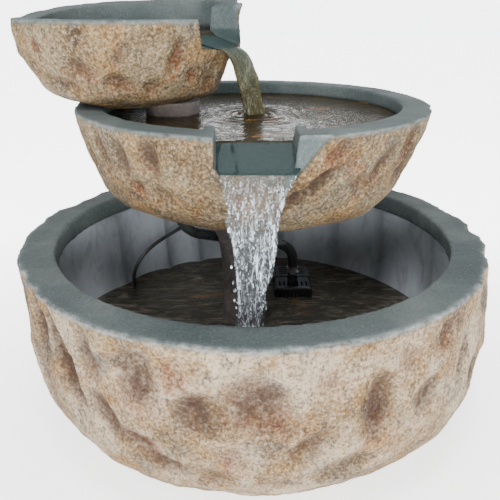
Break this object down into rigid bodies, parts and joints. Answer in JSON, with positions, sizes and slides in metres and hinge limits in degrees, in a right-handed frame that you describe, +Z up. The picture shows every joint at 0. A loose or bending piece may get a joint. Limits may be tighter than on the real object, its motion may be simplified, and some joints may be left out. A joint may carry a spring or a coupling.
{
  "type": "tiered water fountain",
  "caption": "Cascade fountain: rock-finished bowls stepped one above another, water spilling through spouts, submersible pump in the basin.",
  "frame": {"origin": "centre of the basin's round foot, on the surface it stands on", "axes": "+Z up; -Y to the front, the side the middle bowl's spout faces; +X to the viewer's right"},
  "size_m": [0.5862, 0.6436, 0.5427],
  "materials": {
    "cast_stone": "rough cast resin with a sandstone finish, slate grey inside the bowls",
    "black_plastic": "moulded",
    "pump_plastic": "smooth moulded, wet",
    "grey_plastic": "moulded",
    "black_rubber": "moulded",
    "hose_plastic": "extruded flexible tube",
    "steel": "stainless",
    "magnet": "sintered, ground round",
    "cable": "smooth extruded jacket",
    "plug_plastic": "moulded",
    "pin_metal": "nickel plated"
  },
  "bodies": {
    "base": {"basin": "cast_stone", "lower_pedestal": "cast_stone", "pump_motor_block": "pump_plastic", "pump_volute_cover": "pump_plastic", "rotor_shaft": "steel", "shaft_bush_front": "black_rubber", "shaft_bush_rear": "black_rubber", "suction_cups": "black_rubber", "pump_gland": "black_rubber", "riser_hose": "hose_plastic", "hose_clamp": "steel", "pump_lead": "cable", "cable_grommet": "black_rubber", "supply_cord": "cable", "cord_coil": "cable", "coil_tie": "black_plastic", "cord_tail": "cable", "plug_strain_relief": "black_rubber", "plug_body": "plug_plastic", "plug_pins": "pin_metal"},
    "middle_tier": {"middle_bowl": "cast_stone", "upper_pedestal": "cast_stone", "floor_sleeve": "black_plastic", "sleeve_seal": "black_rubber", "sleeve_nut": "black_plastic"},
    "top_tier": {"top_bowl": "cast_stone", "inlet_fitting": "black_plastic", "inlet_seal": "black_rubber", "inlet_nut": "black_plastic"},
    "rotor": {"impeller": "grey_plastic", "rotor_magnet": "magnet"},
    "strainer_cover": {"pump_strainer": "pump_plastic"},
    "flow_regulator": {"flow_dial": "grey_plastic"}
  },
  "joints": [
    {"name": "middle_bowl_lift", "type": "slide", "parent": "base", "child": "middle_tier", "axis": [0, 0, 1], "range_m": [0, 0.15]},
    {"name": "top_bowl_lift", "type": "slide", "parent": "middle_tier", "child": "top_tier", "axis": [0, 0, 1], "range_m": [0, 0.12]},
    {"name": "rotor_spin", "type": "hinge", "parent": "base", "child": "rotor", "pos_m": [0.064, 0.14, 0.096], "axis": [0, 1, 0], "continuous": true},
    {"name": "strainer_pull", "type": "slide", "parent": "base", "child": "strainer_cover", "axis": [0, -1, 0], "range_m": [0, 0.025]},
    {"name": "flow_dial_turn", "type": "hinge", "parent": "strainer_cover", "child": "flow_regulator", "pos_m": [0.0825, 0.104, 0.086], "axis": [0, 1, 0], "range_deg": [0, 90]}
  ]
}
